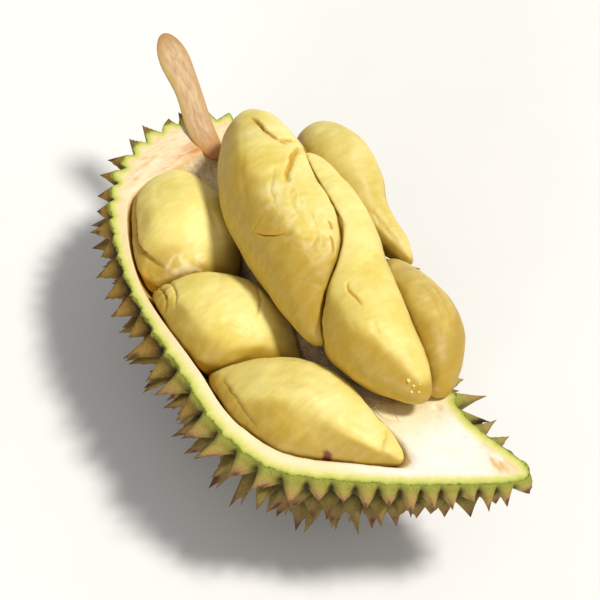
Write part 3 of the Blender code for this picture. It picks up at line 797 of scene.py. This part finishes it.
def crease_skin(points, creases, skin):
    """How far the creases raise each point, and how gold it is there: partly the flesh's own gold, partly
    painted shade in the groove and below a fall.
    """
    rise = np.zeros(len(points))
    gold = np.zeros(len(points))
    for line, depth, width, tint, fall in creases:
        line = line_in_skin(line, CREASE_STEP, skin)
        if len(line) < 3:
            continue
        close, beside, along = beside_line(line, points, CREASE_TRACE)
        near = points[close]
        beside = beside + 0.9 * lumps(near, 7, 3) + 0.5 * width * lumps(near, 2.2, 4)
        taper = 1 - np.abs(along) ** 4
        groove = np.exp(-((beside / width) ** 2))
        lips = 0.12 * np.exp(-(((np.abs(beside) - 2 * width) / width) ** 2))
        lower = smooth_step(-0.35, 0.35, -beside * np.sign(fall)) * np.exp(-np.abs(beside) / 4)
        rise[close] += taper * (depth * (lips - groove) - abs(fall) * lower)
        tone = np.exp(-((beside / (0.9 * width)) ** 2)) + 0.5 * abs(np.sign(fall)) * lower
        gold[close] = np.maximum(gold[close], taper * tint * tone)
    return rise, gold


def wrinkle_skin(points, patches, skin):
    """How far the wrinkled patches raise each point, and how gold or, below 0, how pale it is there; the
    gold lies in the fold valleys, partly the flesh's own gold and partly painted shade.
    """
    rise = np.zeros(len(points))
    gold = np.zeros(len(points))
    for line, spread, height, tint in patches:
        line = line_in_skin(line, 1.0, skin)
        if len(line) < 3:
            continue
        close, beside, _ = beside_line(line, points, spread)
        near = points[close]
        warp = np.stack([lumps(near, 9, seed) for seed in (5, 6, 7)], 1)
        folds = 1 - 2.4 * np.abs(lumps(near + 4 * warp, WRINKLE_SIZE, 8))
        fine = 1 - 2.4 * np.abs(lumps(near + 2 * warp, WRINKLE_SIZE / 2.5, 9))
        share = 1 - smooth_step(0.35 * spread, spread, np.abs(beside))
        rise[close] += height * share * (0.75 * folds + 0.3 * fine)
        tone = 1 - smooth_step(0.1, 0.9, folds) if tint > 0 else smooth_step(0.2, 0.9, folds)
        gold[close] += tint * share * tone
    return rise, gold


def make_pods(finish):
    pods = {name: Pod(*shape) for name, shape in PODS.items()}
    for name, pod in pods.items():
        bm, unit = sphere_mesh(*POD_MESH.get(name, PLAIN_POD_MESH))
        neighbours = [other for key, other in pods.items() if key != name]
        move_vertices(bm, press(pod, neighbours, unit))
        for _ in range(LID_SMOOTHINGS if pod.nestled else 0):
            bmesh.ops.smooth_vert(
                bm, verts=bm.verts, factor=0.5, use_axis_x=True, use_axis_y=True, use_axis_z=True
            )
        rough = mesh_object("rough_" + name, bm)
        smoother = rough.modifiers.new("smoother", "SUBSURF")
        smoother.levels = smoother.render_levels = POD_LEVELS
        bm = apply_modifiers(rough)
        face_outward(bm)
        skin = bvhtree.BVHTree.FromBMesh(bm)
        points = vertex_array(bm)
        normals = np.array([v.normal for v in bm.verts], float)
        creased, gold = crease_skin(points, CREASES[name], skin)
        wrinkled, tint = wrinkle_skin(points, WRINKLES.get(name, ()), skin)
        swell = sum(height * lumps(points, size, seed) for height, size, seed in SWELLS)
        raised = points + normals * (swell + creased + wrinkled)[:, None]
        move_vertices(bm, raised)
        tan, shade_full_below, shade_none_above = POD_TONE[name]
        marks = {
            "gold": np.maximum(gold, tint),
            "pale": -np.minimum(tint, 0),
            "bruise": np.zeros(len(points)),
            "tan": np.full(len(points), tan),
        }
        bruised, place, size = BRUISE
        if name == bruised:
            apart = np.linalg.norm(points[:, :2] - place, axis=1) + 0.8 * lumps(points, 2, 5)
            marks["bruise"] = 1 - smooth_step(0.5 * size, size, apart)
        # Painted shade: gold on skin turned from the light, and on nestled pods also on the skin beside the
        # rim
        painted_shade = 1 - smooth_step(shade_full_below, shade_none_above, normals @ PAINTED_LIGHT_SIDE + 0.12 * lumps(points, 14, 10))
        if pod.nestled:
            beside_rim = inside_rim(points) + 2.5 * lumps(points, 9, 11)
            painted_shade = np.maximum(painted_shade, 1 - smooth_step(2.0, 17.0, beside_rim))
        marks["painted_shade"] = painted_shade
        finish_piece("flesh_" + name, bm, [finish], marks, name)
        if name == "centre_pod_lower":
            make_crumbs(finish, skin)


def make_crumbs(finish, skin):
    """Small crumbs of flesh that stick to a pod."""
    for number, (x, y, size) in enumerate(CRUMBS):
        place = on_skin_below(x, y, skin)
        bm = bmesh.new()
        bmesh.ops.create_icosphere(bm, subdivisions=3, radius=size)
        points = vertex_array(bm) * (1, 0.8, 0.6)
        points = points * (1 + 0.35 * lumps(points + (9 * number, 0, 0), 1.2, 6))[:, None]
        move_vertices(bm, points + np.array(place))
        marks = {key: np.zeros(len(points)) for key in ("gold", "pale", "bruise", "tan", "painted_shade")}
        finish_piece("crumb_" + str(number + 1), bm, [finish], marks, None)


# ---- Stem ----


def make_stem(finish):
    bm, unit = sphere_mesh(STEM_SEGMENTS, STEM_RINGS)
    share = np.sin(unit[:, 0] * math.pi / 2)
    ahead = smooth_path(STEM_PATH, share + 0.01) - smooth_path(STEM_PATH, share - 0.01)
    along = unit_rows(ahead)
    side = unit_rows(np.cross(along, (0, 0, 1.0)))
    up = np.cross(side, along)
    around = unit_rows(np.column_stack([np.zeros(len(unit)), unit[:, 1:] + 1e-12]))
    blunt = (1 - np.abs(share) ** STEM_BLUNTNESS) ** 0.5
    wide = smooth_path([(value,) for value in STEM_HALF_WIDTH], share)[:, 0]
    deep = smooth_path([(value,) for value in STEM_DEPTH], share)[:, 0]
    lift = np.where(around[:, 2] > 0, STEM_CROWN * wide, deep) * around[:, 2]
    offset = side * (wide * blunt * around[:, 1])[:, None] + up * (lift * blunt)[:, None]
    move_vertices(bm, smooth_path(STEM_PATH, share) + offset + (0, 0, CUT_HEIGHT))
    marks = {"across": around[:, 1], "upper": (around[:, 2] > 0) * 1.0, "along": share}
    return finish_piece("split_stem", bm, [finish], marks, "stem")


# ---- Finishes ----


def paint(red, green, blue):
    """A colour from 0 to 255 a channel, as the shader takes it."""
    return tuple((value / 255) ** 2.2 for value in (red, green, blue)) + (1.0,)


class Finish:
    """A finish built up from nodes. Sizes are in millimetres on the piece's own coordinates."""

    def __init__(self, name, **constants):
        self.made = bpy.data.materials.new(name)
        self.made.use_nodes = True
        self.tree = self.made.node_tree
        self.shader = self.tree.nodes["Principled BSDF"]
        self.place = self.tree.nodes.new("ShaderNodeTexCoord").outputs["Object"]
        for socket, value in constants.items():
            self.shader.inputs[socket.replace("_", " ")].default_value = value

    def node(self, kind, *inputs, **settings):
        made = self.tree.nodes.new("ShaderNode" + kind)
        for key, value in settings.items():
            setattr(made, key, value)
        for socket, value in enumerate(inputs):
            self.put(made.inputs[socket], value)
        return made

    def put(self, socket, value):
        if isinstance(value, bpy.types.NodeSocket):
            self.tree.links.new(value, socket)
        elif value is not None:
            socket.default_value = value

    def wear(self, socket, value):
        self.put(self.shader.inputs[socket], value)

    def mark(self, name):
        return self.node("Attribute", attribute_name=name).outputs["Fac"]

    def stretched(self, stretch, turn=0.0):
        return self.node("Mapping", self.place, None, (0, 0, turn), stretch).outputs[0]

    def noise(self, size, detail=3.0, roughness=0.5, place=None, distortion=0.0):
        made = self.node("TexNoise")
        self.put(made.inputs["Vector"], place or self.place)
        self.put(made.inputs["Scale"], 1 / (size * MM))
        self.put(made.inputs["Detail"], detail)
        self.put(made.inputs["Roughness"], roughness)
        self.put(made.inputs["Distortion"], distortion)
        return made.outputs["Fac"]

    def maths(self, operation, first, second=None, third=None):
        return self.node("Math", first, second, third, operation=operation).outputs[0]

    def stirred(self, value, noise, spread):
        """The value moved up and down by the noise, by the spread in all."""
        return self.maths("ADD", value, self.maths("MULTIPLY_ADD", noise, spread, -spread / 2))

    def step(self, value, low, high, start=0.0, end=1.0):
        """Start below low, end above high, smooth between."""
        made = self.node("MapRange", value, low, high, start, end, interpolation_type="SMOOTHSTEP")
        return made.outputs[0]

    def ramp(self, value, *stops):
        made = self.node("ValToRGB", value)
        bar = made.color_ramp.elements
        while len(bar) < len(stops):
            bar.new(0.5)
        for element, (place, colour) in zip(bar, stops):
            element.position = place
            element.color = paint(*colour)
        return made.outputs["Color"]

    def mix(self, share, first, second):
        made = self.node("Mix", data_type="RGBA")
        for name, value in (("Factor_Float", share), ("A_Color", first), ("B_Color", second)):
            socket = next(one for one in made.inputs if one.identifier == name)
            self.put(socket, paint(*value) if isinstance(value, tuple) else value)
        return next(one for one in made.outputs if one.identifier == "Result_Color")

    def over(self, colour, top, value, low, high, most=1.0):
        """The colour, giving way to the top one as the value goes from low to high."""
        return self.mix(self.step(value, low, high, 0.0, most), colour, top)

    def mark_past(self, name, value, low, high):
        """The mark, only where the value is past low to high."""
        return self.maths("MULTIPLY", self.mark(name), self.step(value, low, high))

    def bump(self, height, distance, strength=1.0):
        """Relief of the given depth over what is there already."""
        made = self.node("Bump")
        self.put(made.inputs["Strength"], strength)
        self.put(made.inputs["Distance"], distance * MM)
        self.put(made.inputs["Height"], height)
        old = self.shader.inputs["Normal"]
        if old.links:
            self.put(made.inputs["Normal"], old.links[0].from_socket)
        self.put(old, made.outputs["Normal"])


def spiny_rind():
    """Brown by the stem and olive toward the tip, lime under the cut edge, with painted shade darkening the
    valleys between spines and the rows far below the cut edge.
    """
    rind = Finish("spiny_rind", Roughness=0.72, Specular_IOR_Level=0.2)
    grain = rind.noise(2.2, 4, 0.65)
    patch = rind.noise(16, 3)
    # Painted shade: the brown and the green ramps both darken each spine toward the valley at its foot;
    # higher up are the spines' own colours
    tip = rind.stirred(rind.mark("tip"), grain, 0.3)
    brown = rind.ramp(
        tip,
        (0.0, (24, 16, 8)),
        (0.18, (56, 42, 19)),
        (0.5, (132, 103, 46)),
        (0.8, (152, 120, 60)),
        (0.97, (98, 68, 38)),
    )
    green = rind.ramp(
        tip,
        (0.0, (30, 26, 11)),
        (0.16, (78, 70, 30)),
        (0.5, (160, 142, 72)),
        (0.78, (164, 130, 84)),
        (0.97, (104, 68, 46)),
    )
    share = rind.stirred(rind.mark("green"), rind.mark("tone"), 0.6)
    share = rind.stirred(share, patch, 0.6)
    colour = rind.over(brown, green, share, 0.2, 0.8)
    edge = rind.stirred(rind.mark("below_edge"), grain, 4.0)
    # Painted shade: darker brown on the rows farther below the cut edge
    colour = rind.over(colour, (58, 42, 20), edge, 9.0, 20.0, 0.45)
    reach = rind.maths("MULTIPLY_ADD", rind.mark("green"), 5.0, 1.6)
    lime = rind.maths("SUBTRACT", 1.0, rind.step(rind.maths("DIVIDE", edge, reach), 0.1, 1.0))
    colour = rind.mix(rind.maths("MULTIPLY", lime, 0.75), colour, (166, 168, 74))
    speckle = rind.noise(0.9, 2, 0.6)
    colour = rind.over(colour, (60, 46, 30), speckle, 0.52, 0.72, 0.35)
    rind.wear("Base Color", colour)
    rind.bump(grain, 0.5, 0.7)
    rind.bump(speckle, 0.25, 0.5)
    return rind.made


def cut_rind():
    """Lime at the outer edge, cream inside it, gold membrane in the locules with painted shade darkening it
    deeper down, fibres and pale pith.
    """
    rind = Finish("cut_rind", Roughness=0.6, Specular_IOR_Level=0.3)
    fray = rind.noise(2.5, 4, 0.6)
    cloud = rind.noise(14, 3)
    edge = rind.stirred(rind.mark("from_edge"), fray, 2.4)
    band = rind.ramp(
        rind.maths("DIVIDE", edge, 10.0),
        (0.0, (92, 88, 40)),
        (0.04, (166, 172, 72)),
        (0.18, (206, 210, 112)),
        (0.38, (234, 224, 146)),
        (0.62, (246, 232, 186)),
    )
    blush = rind.over(band, (246, 224, 200), cloud, 0.45, 0.75, 0.35)
    band = rind.over(band, blush, edge, 3.0, 6.0)
    ripe = rind.step(rind.mark("green"), 0.0, 0.8, 0.55, 0.0)
    band = rind.mix(rind.maths("MULTIPLY", ripe, rind.step(edge, 2.0, 5.0)), band, (230, 206, 160))
    strands = rind.noise(3.0, 5, 0.6, rind.stretched((1.0, 0.25, 1.0), 0.25), 0.6)
    root = rind.ramp(strands, (0.35, (250, 232, 198)), (0.55, (246, 218, 176)), (0.72, (228, 180, 120)))
    near = rind.ramp(strands, (0.35, (238, 196, 150)), (0.6, (214, 148, 84)))
    root = rind.mix(rind.mark("stem_foot"), root, near)
    band = rind.mix(rind.mark_past("stem_end", edge, 3.0, 7.0), band, root)
    streaks = rind.noise(7.0, 4, 0.55, rind.stretched((0.4, 1.0, 1.0), -0.5), 0.4)
    streaks = rind.maths("ADD", streaks, rind.maths("MULTIPLY_ADD", rind.mark("far_tip"), 0.3, -0.2))
    pith = rind.ramp(streaks, (0.35, (250, 244, 234)), (0.58, (246, 234, 216)), (0.72, (226, 190, 128)))
    band = rind.mix(rind.mark_past("pith", edge, 3.0, 7.0), band, pith)
    drop = rind.stirred(rind.mark("drop"), fray, 1.6)
    # The lining is the locules' gold membrane, darkened with depth below the rim as painted shade
    lining = rind.ramp(
        rind.maths("DIVIDE", drop, 30.0),
        (0.0, (226, 190, 108)),
        (0.2, (218, 178, 88)),
        (0.6, (206, 160, 76)),
        (1.0, (190, 144, 70)),
    )
    inside = rind.over(band, lining, drop, 0.4, 2.2)
    fibres = rind.noise(1.6, 5, 0.7, rind.stretched((0.25, 1.0, 1.0), 0.25), 0.8)
    wall = rind.ramp(fibres, (0.3, (196, 158, 108)), (0.46, (236, 214, 174)), (0.62, (250, 240, 216)))
    colour = rind.mix(rind.mark_past("septum", drop, 0.5, 3.0), inside, wall)
    rind.wear("Base Color", colour)
    rind.bump(fray, 0.35, 0.5)
    rind.bump(fibres, 0.4, 0.3)
    return rind.made


def torn_fibre():
    """Pale dry fibres, each a little browner or paler than the next."""
    fibre = Finish("torn_fibre", Roughness=0.7, Specular_IOR_Level=0.2)
    tone = fibre.stirred(fibre.mark("tone"), fibre.noise(3, 2), 0.4)
    colour = fibre.ramp(tone, (0.0, (214, 178, 126)), (0.35, (240, 216, 172)), (0.8, (252, 243, 224)))
    fibre.wear("Base Color", colour)
    return fibre.made


def pale_flesh():
    """Satin yellow flesh, palest toward the light and gold with painted shade on the sides turned from it;
    gold to brown in its creases, partly its own colour and partly painted shade.
    """
    flesh = Finish("pale_flesh", Roughness=0.46, Specular_IOR_Level=0.35, Subsurface_Weight=0.15)
    flesh.shader.inputs["Subsurface Radius"].default_value = (1.0, 0.62, 0.22)
    flesh.shader.inputs["Subsurface Scale"].default_value = 3 * MM
    cloud = flesh.noise(26, 4, 0.55)
    small = flesh.noise(7, 4, 0.6)
    colour = flesh.ramp(cloud, (0.32, (234, 213, 108)), (0.5, (244, 228, 136)), (0.66, (250, 238, 160)))
    tanned = flesh.ramp(cloud, (0.32, (186, 158, 76)), (0.5, (200, 174, 94)), (0.66, (212, 188, 112)))
    colour = flesh.mix(flesh.mark("tan"), colour, tanned)
    colour = flesh.over(colour, (250, 238, 172), small, 0.5, 0.75, 0.3)
    # Painted shade: gold on the sides turned from the light and beside the rim, deeper gold where it is
    # fullest
    colour = flesh.mix(flesh.maths("MULTIPLY", flesh.mark("painted_shade"), 0.85), colour, (204, 172, 66))
    colour = flesh.over(colour, (168, 134, 40), flesh.mark("painted_shade"), 0.45, 1.0, 0.85)
    ribs = flesh.noise(3.2, 3, 0.5, flesh.stretched((1.0, 0.22, 0.5)), 0.4)
    colour = flesh.over(colour, (246, 232, 150), ribs, 0.3, 0.75, 0.12)
    colour = flesh.over(colour, (196, 160, 62), ribs, 0.7, 0.25, 0.16)
    pale = flesh.maths("MULTIPLY", flesh.mark("pale"), flesh.step(small, 0.3, 0.6))
    colour = flesh.mix(pale, colour, (252, 243, 204))
    # Gold in the creases and wrinkles: partly the flesh's own gold, partly painted shade; the brown where it
    # runs deepest is painted shade in the grooves
    gold = flesh.stirred(flesh.mark("gold"), small, 0.3)
    colour = flesh.over(colour, (206, 162, 58), gold, 0.12, 0.6, 0.9)
    colour = flesh.over(colour, (138, 88, 36), gold, 0.8, 1.05, 0.9)
    colour = flesh.mix(flesh.mark("bruise"), colour, (112, 44, 24))
    flesh.wear("Base Color", colour)
    flesh.bump(flesh.noise(3.4, 4, 0.6), 0.4, 0.4)
    flesh.bump(ribs, 0.5, 0.3)
    return flesh.made


def split_wood():
    """The stem's pale split face with pinkish streaks along it, its bark side and its dry end."""
    wood = Finish("split_wood", Roughness=0.62, Specular_IOR_Level=0.3)
    across = wood.mark("across")
    along = wood.mark("along")
    # Streaks run along the stem: its half width and a shortened length, in metres
    aside = wood.maths("MULTIPLY", across, 7.5 * MM)
    ahead = wood.maths("MULTIPLY", along, 11 * MM)
    place = wood.node("CombineXYZ", aside, ahead, 0.0).outputs[0]
    streaks = wood.noise(2.4, 4, 0.6, place)
    fine = wood.noise(0.8, 3, 0.6, place)
    face = wood.ramp(streaks, (0.36, (190, 146, 112)), (0.5, (204, 172, 130)), (0.64, (216, 190, 150)))
    face = wood.over(face, (190, 150, 104), fine, 0.52, 0.75, 0.25)
    face = wood.mix(wood.step(across, -0.95, -0.3, 0.8, 0.0), face, (188, 154, 90))
    face = wood.over(face, (192, 150, 104), across, 0.35, 0.98, 0.8)
    bark = wood.mix(wood.step(wood.noise(4, 4), 0.4, 0.65), (128, 106, 58), (96, 84, 44))
    colour = wood.mix(wood.mark("upper"), bark, face)
    colour = wood.over(colour, (176, 132, 82), along, 0.5, 0.99, 0.8)
    colour = wood.mix(wood.step(along, -0.94, -0.45, 0.8, 0.0), colour, (202, 134, 74))
    wood.wear("Base Color", colour)
    wood.bump(streaks, 0.6, 0.6)
    wood.bump(fine, 0.25, 0.5)
    return wood.made


def plain_floor():
    floor = Finish("pale_floor", Roughness=0.85)
    floor.wear("Base Color", floor.mix(floor.noise(60, 2), (243, 243, 243), (238, 238, 239)))
    return floor.made


# ---- Stage ----


def facing_from(direction):
    """The turn that makes a lamp or the camera look back from the direction."""
    return Vector(direction).to_track_quat("Z", "Y").to_euler()


def add_sun(name, energy, spread, colour, direction):
    sun = bpy.data.lights.new(name, "SUN")
    sun.energy = energy
    sun.angle = math.radians(spread)
    sun.color = colour
    lamp = bpy.data.objects.new(name, sun)
    lamp.rotation_euler = facing_from(direction)
    bpy.context.scene.collection.objects.link(lamp)


def make_stage():
    bm = bmesh.new()
    bmesh.ops.create_grid(bm, x_segments=1, y_segments=1, size=FLOOR_HALF)
    floor = mesh_object("floor", bm)
    floor.data.materials.append(plain_floor())
    scene = bpy.context.scene
    lens = bpy.data.cameras.new("camera")
    lens.lens, lens.sensor_width = CAMERA_LENS, CAMERA_SENSOR
    lens.clip_end = 20
    camera = bpy.data.objects.new("camera", lens)
    away = Vector((
        math.sin(CAMERA_TURN) * math.cos(CAMERA_RISE),
        -math.cos(CAMERA_TURN) * math.cos(CAMERA_RISE),
        math.sin(CAMERA_RISE),
    ))
    camera.location = (Vector(CAMERA_TARGET) + Vector(FRAME_SHIFT) + away * CAMERA_DISTANCE) * MM
    camera.rotation_euler = facing_from(away)
    scene.collection.objects.link(camera)
    scene.camera = camera
    add_sun("key", *KEY_SUN)
    add_sun("fill", *FILL_SUN)
    world = bpy.data.worlds.new("soft_sky")
    world.use_nodes = True
    background = world.node_tree.nodes["Background"]
    background.inputs["Color"].default_value = SKY_COLOUR
    background.inputs["Strength"].default_value = SKY_STRENGTH
    scene.world = world
    scene.view_settings.view_transform = "Standard"
    scene.view_settings.look = "None"


make_husk([spiny_rind(), cut_rind()])
make_fibres(torn_fibre())
make_pods(pale_flesh())
make_stem(split_wood())
make_stage()
